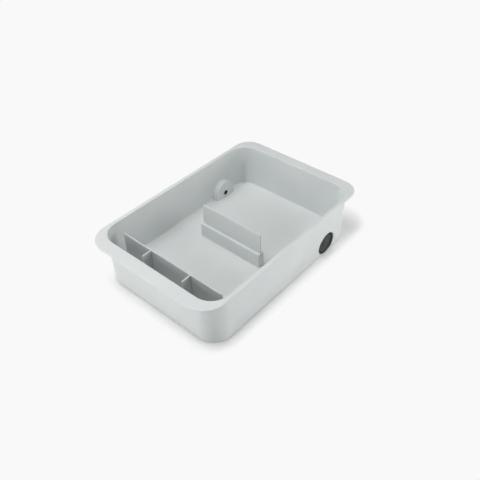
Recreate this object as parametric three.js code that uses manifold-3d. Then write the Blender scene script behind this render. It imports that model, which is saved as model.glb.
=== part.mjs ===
// Rolling storage box: a moulded tub with a wide rim, two wheels at the back and two dividers inside.
// Millimetres, +Z up, +Y towards the wheels. The origin is on the table, under the middle of the box.
import * as THREE from 'three';
import { mergeVertices } from 'three/addons/utils/BufferGeometryUtils.js';
import Module from 'manifold-3d';

const wasm = await Module();
wasm.setup();

// Overall size
const WIDTH = 305;
const LENGTH = 465;
const HEIGHT = 110;

// Rim
const RIM_SIDE = 7.6;
const RIM_FRONT = 26.5;
const RIM_BACK = 22.7;
const RIM_THICKNESS = 3.6;
const RIM_FRONT_CORNER = 44;
const RIM_BACK_CORNER = 36.5;
const RIM_EDGE_ROUND = 1.2;
const RIM_FILLET = 4;
const MOUTH_CORNER = 38;
const MOUTH_ROUND = 2.2;

// Walls, floor and skirt. Draft is in millimetres for each millimetre of height.
const WALL = 2.5;
const SIDE_DRAFT = 0.015;
const END_DRAFT = 0.024;
const FLOOR_TOP = 12.8;
const FLOOR_THICKNESS = 2.5;
const FLOOR_FILLET = 3;
const SKIRT_GAP = 3;
const SKIRT_ROUND = 0.8;
const CORNER_RIB_WIDTH = 3;
const CORNER_RIB_DEPTH = 2.6;
const CORNER_RIB_TOP = 75;

// Wheels, with the axle set in from the back of the rim
const WHEEL_RADIUS = 24.5;
const WHEEL_WIDTH = 11;
const WHEEL_SET_IN = 0.8;
const TYRE_DEPTH = 4;
const TYRE_ROUND = 1.2;
const TYRE_RIDGE_WIDTH = 4;
const TYRE_RIDGE_HEIGHT = 1.2;
const HUB_SET_IN = 0.5;
const HUB_LIP = 2.4;
const HUB_DISH = 1.4;
const HUB_BOSS = 3.2;
const AXLE_FROM_BACK = 103.7;
const AXLE_RADIUS = 3;
const AXLE_HEAD_RADIUS = 5;
const AXLE_HEAD_DEPTH = 2;

// Wheel housings inside the tub
const WHEEL_GAP = 1.2;
const WHEEL_SIDE_GAP = 2;
const HOUSING_WALL = 2;
const HOUSING_ROUND = 3.4;
const HOUSING_BOSS_RIM = 5;
const HOUSING_BOSS_HEIGHT = 1;
const CAP_WALL = 1.3;
const CAP_HEIGHT = 1;
const CAP_SEAT_DEPTH = 1.6;
const CAP_END = 0.8;
const CAP_ROUND = 0.6;

// Front feet, set in from the outer faces of the walls at the front
const FOOT_RADIUS = 10;
const FOOT_ROUND = 0.7;
const FOOT_STEM_RADIUS = 4;
const FOOT_STEM_LENGTH = 5;
const FOOT_BOSS_RIM = 1;
const FOOT_FROM_SIDE = 36;
const FOOT_FROM_FRONT = 30;

// Front divider, placed from the front edge of the tub's mouth
const POCKET_DEPTH = 41;
const DIVIDER_HEIGHT = 81.8;
const DIVIDER_THICKNESS = 2.6;
const DIVIDER_END_GAP = 19;
const DIVIDER_RIB_PITCH = 101.6;
const DIVIDER_RIB_REACH = 20.7;
const DIVIDER_RIB_THICKNESS = 2.4;
const DIVIDER_FOOT = 2.5;
const DIVIDER_PEG_PITCH = 180;

// Middle divider: a block on the floor and a panel that stands in it
const BLOCK_Y = 1.75;
const BLOCK_LENGTH = 156;
const BLOCK_DEPTH = 15.5;
const BLOCK_HEIGHT = 31.9;
const BLOCK_SKIN = 2;
const BLOCK_CORNER = 3;
const BLOCK_ROUND = 1;
const BLOCK_PEG_PITCH = 120;
const PANEL_LENGTH = 152;
const PANEL_THICKNESS = 2.4;
const PANEL_HEIGHT = 46.1;
const PANEL_TONGUE_INSET = 5;
const PANEL_TONGUE_DEPTH = 18;
const PANEL_CORNER = 2;

// Shared by both dividers
const INSERT_DRAFT = 0.02;
const PEG_RADIUS = 3;
const PEG_LENGTH = 3.4;

// Fits, and how finely round shapes are cut
const CLEARANCE = 0.3;
const CORNER_STEPS = 10;
const ROUND_STEPS = 3;
const WHEEL_STEPS = 40;
const PIN_STEPS = 20;
const OVERRUN = 20;
const SIDES = { left: -1, right: 1 };

// Materials, in the colours of the photograph
const plastic = (color, roughness) => new THREE.MeshStandardMaterial({ color, roughness, metalness: 0 });
const TUB_GREY = plastic(0xd3d8d7, 0.5);
const DIVIDER_GREY = plastic(0xcdd2d2, 0.5);
const WHEEL_BLACK = plastic(0x3e4242, 0.5);
const TYRE_BLACK = plastic(0x262929, 0.8);
const FOOT_GREY = plastic(0x8d9292, 0.9);

// Solids for joining and cutting, from closed geometry
function solidOf(geometry) {
  const bare = geometry.clone();
  bare.deleteAttribute('normal');
  bare.deleteAttribute('uv');
  const merged = mergeVertices(bare);
  const corners = merged.index.array;
  const triangles = [];
  for (let i = 0; i < corners.length; i += 3) {
    const [a, b, c] = corners.slice(i, i + 3);
    if (a !== b && b !== c && c !== a) triangles.push(a, b, c);
  }
  const vertProperties = Float32Array.from(merged.attributes.position.array);
  const triVerts = Uint32Array.from(triangles);
  return new wasm.Manifold(new wasm.Mesh({ numProp: 3, vertProperties, triVerts }));
}

function geometryOf(solid) {
  const { vertProperties, triVerts } = solid.getMesh();
  const geometry = new THREE.BufferGeometry();
  geometry.setAttribute('position', new THREE.BufferAttribute(vertProperties, 3));
  geometry.setIndex(new THREE.BufferAttribute(triVerts, 1));
  geometry.computeVertexNormals();
  return geometry;
}

// A level loop of points round a rectangle with round corners
function roundedLoop({ halfX, front, back, frontCorner, backCorner, z }) {
  const points = [];
  const centres = [
    [halfX - backCorner, back - backCorner, backCorner],
    [backCorner - halfX, back - backCorner, backCorner],
    [frontCorner - halfX, front + frontCorner, frontCorner],
    [halfX - frontCorner, front + frontCorner, frontCorner],
  ];
  centres.forEach(([x, y, corner], quarter) => {
    for (let step = 0; step <= CORNER_STEPS; step += 1) {
      const angle = (quarter + step / CORNER_STEPS) * Math.PI / 2;
      points.push(new THREE.Vector3(x + corner * Math.cos(angle), y + corner * Math.sin(angle), z));
    }
  });
  return points;
}

// The same outline moved outwards by a distance, at a height
function offset({ halfX, front, back, frontCorner, backCorner }, by, z) {
  return {
    halfX: halfX + by,
    front: front - by,
    back: back + by,
    frontCorner: frontCorner + by,
    backCorner: backCorner + by,
    z,
  };
}

// A closed skin through loops of equal length, with its first and last loop capped
function skin(loops) {
  const count = loops[0].length;
  const positions = loops.flat().flatMap((point) => point.toArray());
  const index = [];
  for (let loop = 0; loop + 1 < loops.length; loop += 1) {
    for (let i = 0; i < count; i += 1) {
      const a = loop * count + i;
      const b = loop * count + (i + 1) % count;
      index.push(a, b, b + count, a, b + count, a + count);
    }
  }
  const last = (loops.length - 1) * count;
  for (const [a, b, c] of THREE.ShapeUtils.triangulateShape(loops[0], [])) {
    index.push(a, c, b, last + a, last + b, last + c);
  }
  const geometry = new THREE.BufferGeometry();
  geometry.setAttribute('position', new THREE.Float32BufferAttribute(positions, 3));
  geometry.setIndex(index);
  return geometry;
}

// Steps along a quarter round, as shares of its radius: how far along, and how far across
function quarterRound() {
  return Array.from({ length: ROUND_STEPS + 1 }, (_, step) => {
    const angle = step / ROUND_STEPS * Math.PI / 2;
    return { along: Math.sin(angle), across: 1 - Math.cos(angle) };
  });
}

// A turned solid about Y, from points of radius and height
function turned(profile, steps) {
  return new THREE.LatheGeometry(profile.map(([radius, y]) => new THREE.Vector2(radius, y)), steps);
}

const UP = new THREE.Matrix4().makeRotationX(Math.PI / 2);

function peg(radius, low, high, x, y) {
  const geometry = turned([[0, low], [radius, low], [radius, high], [0, high]], PIN_STEPS);
  return solidOf(geometry.applyMatrix4(UP).translate(x, y, 0));
}

function block(x0, x1, y0, y1, z0, z1) {
  const geometry = new THREE.BoxGeometry(x1 - x0, y1 - y0, z1 - z0);
  return solidOf(geometry.translate((x0 + x1) / 2, (y0 + y1) / 2, (z0 + z1) / 2));
}

// An upright plate: an outline of x and z points, from its front face back
function uprightPlate(shape, front, thickness) {
  const geometry = new THREE.ExtrudeGeometry(shape, { depth: thickness, bevelEnabled: false, curveSegments: 4 });
  return geometry.applyMatrix4(UP).translate(0, front + thickness, 0);
}

function joinAll(solids) {
  return solids.reduce((whole, piece) => whole.add(piece));
}

// Where the tub's faces lie
const RIM = {
  halfX: WIDTH / 2,
  front: -LENGTH / 2,
  back: LENGTH / 2,
  frontCorner: RIM_FRONT_CORNER,
  backCorner: RIM_BACK_CORNER,
};

function innerWall(z) {
  const side = SIDE_DRAFT * (HEIGHT - z);
  const end = END_DRAFT * (HEIGHT - z);
  return {
    halfX: WIDTH / 2 - RIM_SIDE - side,
    front: -LENGTH / 2 + RIM_FRONT + end,
    back: LENGTH / 2 - RIM_BACK - end,
    frontCorner: MOUTH_CORNER - side,
    backCorner: MOUTH_CORNER - side,
    z,
  };
}

function outerWall(z) {
  return offset(innerWall(z), WALL, z);
}

const FLOOR_UNDERSIDE = FLOOR_TOP - FLOOR_THICKNESS;
const RIM_UNDERSIDE = HEIGHT - RIM_THICKNESS;
const MOUTH_FRONT = innerWall(HEIGHT).front;

// Where the wheels' faces lie, along the axle from the wall's outer face, outwards positive
const AXLE_Y = LENGTH / 2 - AXLE_FROM_BACK;
const AXLE_Z = WHEEL_RADIUS;
const AXLE_X = outerWall(AXLE_Z).halfX;
const WHEEL_FACE = -WHEEL_SET_IN;
const WHEEL_BACK = WHEEL_FACE - WHEEL_WIDTH;
const WELL_FACE = WHEEL_BACK - WHEEL_SIDE_GAP;
const HOUSING_FACE = WELL_FACE - HOUSING_WALL;
const BOSS_FACE = HOUSING_FACE - HOUSING_BOSS_HEIGHT;
const CAP_FACE = BOSS_FACE - CAP_HEIGHT;
const CAP_SEAT = BOSS_FACE + CAP_SEAT_DEPTH;
const HUB_FACE = WHEEL_FACE - HUB_SET_IN;
const HEAD_SEAT = HUB_FACE - AXLE_HEAD_DEPTH - CLEARANCE;
const WELL_RADIUS = WHEEL_RADIUS + WHEEL_GAP;
const BORE_RADIUS = AXLE_RADIUS + CLEARANCE;
const CAP_RADIUS = BORE_RADIUS + CAP_WALL;

// Lays a turned solid along a wheel's axle, with its top facing out of the box
function alongAxle(side) {
  const turn = new THREE.Matrix4().makeRotationZ(-SIDES[side] * Math.PI / 2);
  return turn.setPosition(SIDES[side] * AXLE_X, AXLE_Y, AXLE_Z);
}

// The tub's shell: under the floor, down the skirt, up the walls, over the rim and into the mouth
function tubShell() {
  const round = quarterRound();
  const skirtFoot = outerWall(SKIRT_GAP);
  const neck = outerWall(RIM_UNDERSIDE);
  const overhang = RIM.halfX - neck.halfX - RIM_EDGE_ROUND;
  const fillet = Math.min(RIM_FILLET, overhang);
  const mouth = innerWall(HEIGHT - MOUTH_ROUND);
  const foot = innerWall(FLOOR_TOP + FLOOR_FILLET);
  const loops = [
    innerWall(FLOOR_UNDERSIDE),
    innerWall(SKIRT_GAP),
    ...round.map(({ along, across }) =>
      offset(skirtFoot, SKIRT_ROUND * (along - 1), SKIRT_GAP + SKIRT_ROUND * across)),
    ...round.map(({ along, across }) =>
      offset(neck, fillet * across, RIM_UNDERSIDE - fillet * (1 - along))),
    ...round.map(({ along, across }) =>
      offset(RIM, RIM_EDGE_ROUND * (along - 1), RIM_UNDERSIDE + RIM_EDGE_ROUND * across)),
    ...round.map(({ along, across }) =>
      offset(RIM, -RIM_EDGE_ROUND * across, HEIGHT - RIM_EDGE_ROUND * (1 - along))),
    ...round.map(({ along, across }) =>
      offset(mouth, MOUTH_ROUND * (1 - along), HEIGHT - MOUTH_ROUND * across)),
    ...round.map(({ along, across }) =>
      offset(foot, -FLOOR_FILLET * across, FLOOR_TOP + FLOOR_FILLET * (1 - along))),
  ];
  return solidOf(skin(loops.map(roundedLoop)));
}

// A half-round housing with a boss round the axle, cut off level with the skirt
function wheelHousing(side) {
  const radius = WELL_RADIUS + HOUSING_WALL;
  const edge = quarterRound().map(({ along, across }) => [
    radius - HOUSING_ROUND * (1 - along),
    HOUSING_FACE + HOUSING_ROUND * across,
  ]);
  const drum = turned([[0, HOUSING_FACE], ...edge, [radius, -WALL / 2], [0, -WALL / 2]], WHEEL_STEPS);
  const bossRadius = AXLE_RADIUS + HOUSING_BOSS_RIM;
  const boss = turned(
    [[0, BOSS_FACE], [bossRadius, BOSS_FACE], [bossRadius, WELL_FACE], [0, WELL_FACE]],
    PIN_STEPS,
  );
  const lay = alongAxle(side);
  const whole = solidOf(drum.applyMatrix4(lay)).add(solidOf(boss.applyMatrix4(lay)));
  return whole.intersect(block(-WIDTH, WIDTH, -LENGTH, LENGTH, SKIRT_GAP, HEIGHT));
}

// What a wheel, its axle and the axle's cap take out of the tub
function wheelWell(side) {
  const well = turned(
    [[0, WELL_FACE], [WELL_RADIUS, WELL_FACE], [WELL_RADIUS, OVERRUN], [0, OVERRUN]],
    WHEEL_STEPS,
  );
  const seatRadius = CAP_RADIUS + CLEARANCE;
  const bore = turned([
    [0, CAP_FACE],
    [seatRadius, CAP_FACE],
    [seatRadius, CAP_SEAT],
    [BORE_RADIUS, CAP_SEAT],
    [BORE_RADIUS, 0],
    [0, 0],
  ], PIN_STEPS);
  const lay = alongAxle(side);
  return solidOf(well.applyMatrix4(lay)).add(solidOf(bore.applyMatrix4(lay)));
}

// An upright rib in the middle of a rounded corner, sloped back into the wall at its top
function cornerRib(sideX, sideY) {
  const out = new THREE.Vector3(sideX, sideY, 0).normalize();
  const across = new THREE.Vector3(-sideY, sideX, 0).normalize().multiplyScalar(CORNER_RIB_WIDTH / 2);
  const stand = (z, depth) => {
    const { halfX, front, back, backCorner, frontCorner } = innerWall(z);
    const end = sideY > 0 ? back : front;
    const corner = sideY > 0 ? backCorner : frontCorner;
    const centre = new THREE.Vector3(sideX * (halfX - corner), end - sideY * corner, z);
    const near = centre.clone().addScaledVector(out, corner - depth);
    const far = centre.clone().addScaledVector(out, corner + WALL / 2);
    return [near.clone().sub(across), far.clone().sub(across), far.clone().add(across), near.clone().add(across)];
  };
  const low = stand(FLOOR_TOP - FLOOR_THICKNESS / 2, CORNER_RIB_DEPTH);
  const high = stand(CORNER_RIB_TOP, CORNER_RIB_DEPTH);
  const top = stand(CORNER_RIB_TOP + CORNER_RIB_DEPTH, -WALL / 4);
  return solidOf(skin([low, high, top]));
}

// Places that the tub shares with the pieces that stand in it
const DIVIDER_FRONT = MOUTH_FRONT + POCKET_DEPTH;
const DIVIDER_PEG_Y = DIVIDER_FRONT - DIVIDER_RIB_REACH / 2;
const FOOT_X = outerWall(SKIRT_GAP).halfX - FOOT_FROM_SIDE;
const FOOT_Y = outerWall(SKIRT_GAP).front + FOOT_FROM_FRONT;
const PEG_PLACES = [-1, 1].flatMap((side) => [
  [side * DIVIDER_PEG_PITCH / 2, DIVIDER_PEG_Y],
  [side * BLOCK_PEG_PITCH / 2, BLOCK_Y],
]);

function tub() {
  const added = [];
  const cut = PEG_PLACES.map(([x, y]) =>
    peg(PEG_RADIUS + CLEARANCE, FLOOR_UNDERSIDE - OVERRUN, FLOOR_TOP + FLOOR_THICKNESS, x, y));
  for (const [side, sign] of Object.entries(SIDES)) {
    const x = sign * FOOT_X;
    const stemTop = SKIRT_GAP + FOOT_STEM_LENGTH + CLEARANCE;
    added.push(wheelHousing(side), cornerRib(sign, 1), cornerRib(sign, -1));
    added.push(peg(FOOT_RADIUS + FOOT_BOSS_RIM, SKIRT_GAP, FLOOR_TOP - FLOOR_THICKNESS / 2, x, FOOT_Y));
    cut.push(wheelWell(side), peg(FOOT_STEM_RADIUS + CLEARANCE, SKIRT_GAP - OVERRUN, stemTop, x, FOOT_Y));
  }
  return geometryOf(joinAll([tubShell(), ...added]).subtract(joinAll(cut)));
}

// An outline of x and z for a plate that widens towards its foot, with its two top corners rounded
function taperedOutline(halfTop, low, high, corner) {
  const halfLow = halfTop + INSERT_DRAFT * (high - low);
  const shape = new THREE.Shape();
  shape.moveTo(-halfLow, low);
  shape.lineTo(halfLow, low);
  shape.lineTo(halfTop, high - corner);
  shape.quadraticCurveTo(halfTop, high, halfTop - corner, high);
  shape.lineTo(corner - halfTop, high);
  shape.quadraticCurveTo(-halfTop, high, -halfTop, high - corner);
  shape.closePath();
  return shape;
}

// The comb-shaped front divider: a long wall, two short ribs, a foot strip and two pegs
function frontDivider() {
  const top = FLOOR_TOP + DIVIDER_HEIGHT;
  const halfTop = innerWall(top).halfX - DIVIDER_END_GAP;
  const halfFoot = halfTop + INSERT_DRAFT * DIVIDER_HEIGHT;
  const wall = taperedOutline(halfTop, FLOOR_TOP, top, PANEL_CORNER);
  const back = DIVIDER_FRONT + DIVIDER_THICKNESS;
  const reach = DIVIDER_FRONT - DIVIDER_RIB_REACH;
  const footEdge = reach - INSERT_DRAFT * DIVIDER_HEIGHT;
  const parts = [
    solidOf(uprightPlate(wall, DIVIDER_FRONT, DIVIDER_THICKNESS)),
    block(-halfFoot, halfFoot, footEdge, back, FLOOR_TOP, FLOOR_TOP + DIVIDER_FOOT),
  ];
  for (const side of [-1, 1]) {
    const rib = new THREE.Shape();
    rib.moveTo(back - DIVIDER_THICKNESS / 2, FLOOR_TOP);
    rib.lineTo(footEdge, FLOOR_TOP);
    rib.lineTo(reach, top);
    rib.lineTo(back - DIVIDER_THICKNESS / 2, top);
    rib.closePath();
    const upright = new THREE.ExtrudeGeometry(rib, { depth: DIVIDER_RIB_THICKNESS, bevelEnabled: false });
    const alongX = new THREE.Matrix4().makeBasis(
      new THREE.Vector3(0, 1, 0),
      new THREE.Vector3(0, 0, 1),
      new THREE.Vector3(1, 0, 0),
    );
    const x = side * DIVIDER_RIB_PITCH / 2 - DIVIDER_RIB_THICKNESS / 2;
    parts.push(solidOf(upright.applyMatrix4(alongX).translate(x, 0, 0)));
    const pegX = side * DIVIDER_PEG_PITCH / 2;
    parts.push(peg(PEG_RADIUS, FLOOR_TOP - PEG_LENGTH, FLOOR_TOP + DIVIDER_FOOT / 2, pegX, DIVIDER_PEG_Y));
  }
  return geometryOf(joinAll(parts));
}

// The block on the floor: a slot along its top, a hollow open below, and two pegs
function dividerBase() {
  const top = FLOOR_TOP + BLOCK_HEIGHT;
  const foot = INSERT_DRAFT * BLOCK_HEIGHT;
  const plan = {
    halfX: BLOCK_LENGTH / 2,
    front: BLOCK_Y - BLOCK_DEPTH / 2,
    back: BLOCK_Y + BLOCK_DEPTH / 2,
    frontCorner: BLOCK_CORNER,
    backCorner: BLOCK_CORNER,
  };
  const loops = [
    offset(plan, foot, FLOOR_TOP),
    ...quarterRound().map(({ along, across }) =>
      offset(plan, -BLOCK_ROUND * across, top - BLOCK_ROUND * (1 - along))),
  ];
  const halfSlot = PANEL_LENGTH / 2 - PANEL_TONGUE_INSET + CLEARANCE;
  const halfGap = PANEL_THICKNESS / 2 + CLEARANCE;
  const slotFloor = top - PANEL_TONGUE_DEPTH - CLEARANCE;
  const slot = block(-halfSlot, halfSlot, BLOCK_Y - halfGap, BLOCK_Y + halfGap, slotFloor, top + OVERRUN);
  const halfHollow = plan.halfX - BLOCK_SKIN;
  const roof = slotFloor - BLOCK_SKIN;
  const hollow = block(
    -halfHollow, halfHollow, plan.front + BLOCK_SKIN, plan.back - BLOCK_SKIN, FLOOR_TOP - OVERRUN, roof,
  );
  const pegs = [-1, 1].map((side) =>
    peg(PEG_RADIUS, FLOOR_TOP - PEG_LENGTH, roof + BLOCK_SKIN / 2, side * BLOCK_PEG_PITCH / 2, BLOCK_Y));
  const shell = solidOf(skin(loops.map(roundedLoop))).subtract(slot.add(hollow));
  return geometryOf(joinAll([shell, ...pegs]));
}

// The panel: its shoulders rest on the block and its tongue stands in the slot
function dividerPanel() {
  const seat = FLOOR_TOP + BLOCK_HEIGHT;
  const halfTop = PANEL_LENGTH / 2 - INSERT_DRAFT * PANEL_HEIGHT;
  const halfTongue = PANEL_LENGTH / 2 - PANEL_TONGUE_INSET;
  const plate = taperedOutline(halfTop, seat, seat + PANEL_HEIGHT, PANEL_CORNER);
  const front = BLOCK_Y - PANEL_THICKNESS / 2;
  const back = BLOCK_Y + PANEL_THICKNESS / 2;
  const tongue = block(-halfTongue, halfTongue, front, back, seat - PANEL_TONGUE_DEPTH, seat + PANEL_CORNER);
  return geometryOf(solidOf(uprightPlate(plate, front, PANEL_THICKNESS)).add(tongue));
}

// The pieces of a wheel, turned about the axle
const HUB_RADIUS = WHEEL_RADIUS - TYRE_DEPTH;
const WHEEL_MIDDLE = (WHEEL_FACE + WHEEL_BACK) / 2;

function tyre() {
  const groove = HUB_RADIUS + TYRE_RIDGE_HEIGHT;
  const half = TYRE_RIDGE_WIDTH / 2;
  const round = quarterRound();
  return turned([
    [HUB_RADIUS, WHEEL_BACK],
    ...round.map(({ along, across }) =>
      [WHEEL_RADIUS - TYRE_ROUND * (1 - along), WHEEL_BACK + TYRE_ROUND * across]),
    ...round.map(({ along, across }) =>
      [WHEEL_RADIUS - TYRE_ROUND * across, WHEEL_FACE - TYRE_ROUND * (1 - along)]),
    [HUB_RADIUS, WHEEL_FACE],
    [HUB_RADIUS, WHEEL_MIDDLE + half],
    [groove, WHEEL_MIDDLE + half],
    [groove, WHEEL_MIDDLE - half],
    [HUB_RADIUS, WHEEL_MIDDLE - half],
    [HUB_RADIUS, WHEEL_BACK],
  ], WHEEL_STEPS);
}

function wheelHub() {
  const rim = HUB_RADIUS - CLEARANCE;
  const ridge = rim + TYRE_RIDGE_HEIGHT;
  const half = TYRE_RIDGE_WIDTH / 2 - CLEARANCE;
  const seat = AXLE_HEAD_RADIUS + CLEARANCE;
  const boss = seat + HUB_BOSS;
  const dish = HUB_FACE - HUB_DISH;
  const back = WHEEL_BACK + HUB_SET_IN;
  return turned([
    [BORE_RADIUS, WELL_FACE + CLEARANCE],
    [boss, WELL_FACE + CLEARANCE],
    [boss, back],
    [rim, back],
    [rim, WHEEL_MIDDLE - half],
    [ridge, WHEEL_MIDDLE - half],
    [ridge, WHEEL_MIDDLE + half],
    [rim, WHEEL_MIDDLE + half],
    [rim, HUB_FACE],
    [rim - HUB_LIP, HUB_FACE],
    [rim - HUB_LIP - HUB_DISH, dish],
    [boss + HUB_DISH, dish],
    [boss, HUB_FACE],
    [seat, HUB_FACE],
    [seat, HEAD_SEAT],
    [BORE_RADIUS, HEAD_SEAT],
    [BORE_RADIUS, WELL_FACE + CLEARANCE],
  ], WHEEL_STEPS);
}

function axlePin() {
  const end = CAP_FACE + CAP_END + CLEARANCE;
  const head = HUB_FACE - AXLE_HEAD_DEPTH;
  return turned([
    [0, end],
    [AXLE_RADIUS, end],
    [AXLE_RADIUS, head],
    [AXLE_HEAD_RADIUS, head],
    [AXLE_HEAD_RADIUS, HUB_FACE],
    [0, HUB_FACE],
  ], PIN_STEPS);
}

function axleCap() {
  return turned([
    [0, CAP_FACE],
    [CAP_RADIUS - CAP_ROUND, CAP_FACE],
    [CAP_RADIUS, CAP_FACE + CAP_ROUND],
    [CAP_RADIUS, CAP_SEAT],
    [BORE_RADIUS, CAP_SEAT],
    [BORE_RADIUS, CAP_FACE + CAP_END],
    [0, CAP_FACE + CAP_END],
  ], PIN_STEPS);
}

function foot() {
  const stemTop = SKIRT_GAP + FOOT_STEM_LENGTH;
  return turned([
    [0, 0],
    [FOOT_RADIUS - FOOT_ROUND, 0],
    [FOOT_RADIUS, FOOT_ROUND],
    [FOOT_RADIUS, SKIRT_GAP],
    [FOOT_STEM_RADIUS, SKIRT_GAP],
    [FOOT_STEM_RADIUS, stemTop],
    [0, stemTop],
  ], PIN_STEPS);
}

function piece(name, geometry, material) {
  const mesh = new THREE.Mesh(geometry, material);
  mesh.name = name;
  return mesh;
}

// The whole box
const box = new THREE.Group();
box.add(
  piece('tub', tub(), TUB_GREY),
  piece('front_divider', frontDivider(), DIVIDER_GREY),
  piece('divider_base', dividerBase(), DIVIDER_GREY),
  piece('divider_panel', dividerPanel(), DIVIDER_GREY),
);

for (const [side, sign] of Object.entries(SIDES)) {
  const wheel = new THREE.Group();
  wheel.position.set(sign * AXLE_X, AXLE_Y, AXLE_Z);
  wheel.rotation.z = -sign * Math.PI / 2;
  wheel.add(
    piece(`${side}_wheel_hub`, wheelHub(), WHEEL_BLACK),
    piece(`${side}_tyre`, tyre(), TYRE_BLACK),
    piece(`${side}_axle_pin`, axlePin(), WHEEL_BLACK),
    piece(`${side}_axle_cap`, axleCap(), WHEEL_BLACK),
  );
  const stand = piece(`${side}_foot`, foot(), FOOT_GREY);
  stand.position.set(sign * FOOT_X, FOOT_Y, 0);
  stand.rotation.x = Math.PI / 2;
  box.add(wheel, stand);
}

export default box;
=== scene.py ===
"""A rolling storage box: a moulded tub with a wide rim, wheels, feet and dividers, on a pale floor."""

import math

import bmesh
import bpy
from mathutils import Matrix, Vector


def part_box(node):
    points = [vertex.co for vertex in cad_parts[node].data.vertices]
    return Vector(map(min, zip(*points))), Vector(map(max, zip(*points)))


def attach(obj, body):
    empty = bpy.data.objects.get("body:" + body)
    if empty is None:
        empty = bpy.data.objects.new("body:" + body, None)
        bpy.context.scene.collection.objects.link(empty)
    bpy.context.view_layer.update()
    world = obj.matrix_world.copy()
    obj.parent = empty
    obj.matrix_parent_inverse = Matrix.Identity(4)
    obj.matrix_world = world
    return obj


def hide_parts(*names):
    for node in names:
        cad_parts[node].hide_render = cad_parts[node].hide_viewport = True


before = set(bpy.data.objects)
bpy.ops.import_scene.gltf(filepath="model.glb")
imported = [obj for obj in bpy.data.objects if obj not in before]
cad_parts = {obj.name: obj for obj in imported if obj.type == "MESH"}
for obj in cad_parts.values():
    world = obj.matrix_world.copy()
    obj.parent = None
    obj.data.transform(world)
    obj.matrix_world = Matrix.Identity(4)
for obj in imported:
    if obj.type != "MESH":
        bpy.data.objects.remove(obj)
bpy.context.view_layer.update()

MM = 0.001

# The photograph's camera, fitted to the rim at its real size
IMAGE_WIDTH_PX = 480
FOCAL_LENGTH_PX = 575.65
LENS_AXIS_PX = 241.0
SENSOR_WIDTH_MM = 36
VIEW_AZIMUTH = 41.0
VIEW_ELEVATION = 40.89
VIEW_ROLL = -0.63
VIEW_DISTANCE = 1141.2 * MM
VIEW_TARGET = Vector((28.65, -1.6, 55)) * MM

# Rim
RIM_SIDE = 7.6 * MM
RIM_FRONT = 26.5 * MM
RIM_BACK = 22.7 * MM
RIM_THICKNESS = 3.6 * MM
RIM_FRONT_CORNER = 44 * MM
RIM_BACK_CORNER = 36.5 * MM
RIM_EDGE_ROUND = 1.2 * MM
RIM_FILLET = 3.8 * MM
MOUTH_CORNER = 38 * MM
MOUTH_ROUND = 1.2 * MM

# Walls, floor and skirt. Draft is in metres for each metre of height.
WALL = 2.5 * MM
SIDE_DRAFT = 0.015
END_DRAFT = 0.024
FLOOR_TOP = 12.8 * MM
FLOOR_THICKNESS = 2.5 * MM
FLOOR_FILLET = 3 * MM
SKIRT_ROUND = 0.8 * MM
CORNER_RIB_WIDTH = 1.6 * MM
CORNER_RIB_DEPTH = 5 * MM
CORNER_RIB_TOP = 78 * MM
CORNER_RIB_FADE = 14 * MM
# How far round its corner from the side wall a rib stands, just short of halfway
CORNER_RIB_TURN = math.radians(41.5)

# Wheels and the housings that they turn in
TYRE_DEPTH = 4 * MM
TYRE_ROUND = 1.2 * MM
TYRE_RIDGE_WIDTH = 4 * MM
TYRE_RIDGE_HEIGHT = 1.2 * MM
HUB_LIP = 2.4 * MM
HUB_DISH = 1.4 * MM
HUB_BOSS = 3.2 * MM
HUB_EDGE_ROUND = 0.3 * MM
AXLE_RADIUS = 3 * MM
AXLE_HEAD_RADIUS = 5 * MM
AXLE_HEAD_DEPTH = 2 * MM
AXLE_EDGE_ROUND = 0.4 * MM
WHEEL_GAP = 0.9 * MM
WHEEL_SIDE_GAP = 2 * MM
ARCH_EASE = 0.8 * MM
HOUSING_WALL = 1.5 * MM
HOUSING_END = 2 * MM
HOUSING_ROUND = 1.2 * MM
HOUSING_FLARE = 1 * MM
HOUSING_BOSS_RIM = 5 * MM
HOUSING_BOSS_HEIGHT = 1 * MM
HOUSING_BOSS_ROUND = HOUSING_BOSS_HEIGHT / 3
CAP_WALL = 1.8 * MM
CAP_END = 0.8 * MM

# Feet
FOOT_STEM_RADIUS = 4 * MM
FOOT_BOSS_RIM = 1 * MM
FOOT_EDGE_ROUND = 0.5 * MM

# Dividers
DIVIDER_THICKNESS = 2.6 * MM
DIVIDER_RIB_PITCH = 101.6 * MM
DIVIDER_RIB_REACH = 20.7 * MM
DIVIDER_RIB_THICKNESS = 2.4 * MM
DIVIDER_FOOT = 2.5 * MM
DIVIDER_PEG_PITCH = 180 * MM
BLOCK_CORNER = 3 * MM
BLOCK_TOP_ROUND = 1 * MM
BLOCK_EDGE_ROUND = 0.3 * MM
BLOCK_SKIN = 2 * MM
BLOCK_PEG_PITCH = 120 * MM
PANEL_TONGUE_INSET = 5 * MM
PLATE_CORNER = 2 * MM
PLATE_EDGE_ROUND = 0.5 * MM
INSERT_DRAFT = 0.02
PEG_RADIUS = 3 * MM
PEG_LENGTH = 3.4 * MM

# The play between pieces that fit together, and how far a cutting shape reaches past what it cuts
CLEARANCE = 0.3 * MM
OVERRUN = 20 * MM
PEG_HOLE_RISE = 5 * MM

# How near points count as level or in line, and how near they are merged
TOUCH = 0.05 * MM
MERGE = 0.005 * MM

# How much of a face's normal lies along the direction that it counts as facing
FACING = 0.9

# How finely round shapes are cut, and the angle in degrees up to which they are shaded smooth
CORNER_STEPS = 16
BLOCK_CORNER_STEPS = 8
ROUND_STEPS = 4
EDGE_STEPS = 3
SMALL_EDGE_STEPS = 2
WHEEL_STEPS = 96
PIN_STEPS = 40
SMOOTH_ANGLE = 32


def reach_of(node):
    """The least and greatest distance of a node from the box's middle plane."""
    return sorted(abs(corner.x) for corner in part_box(node))


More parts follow.
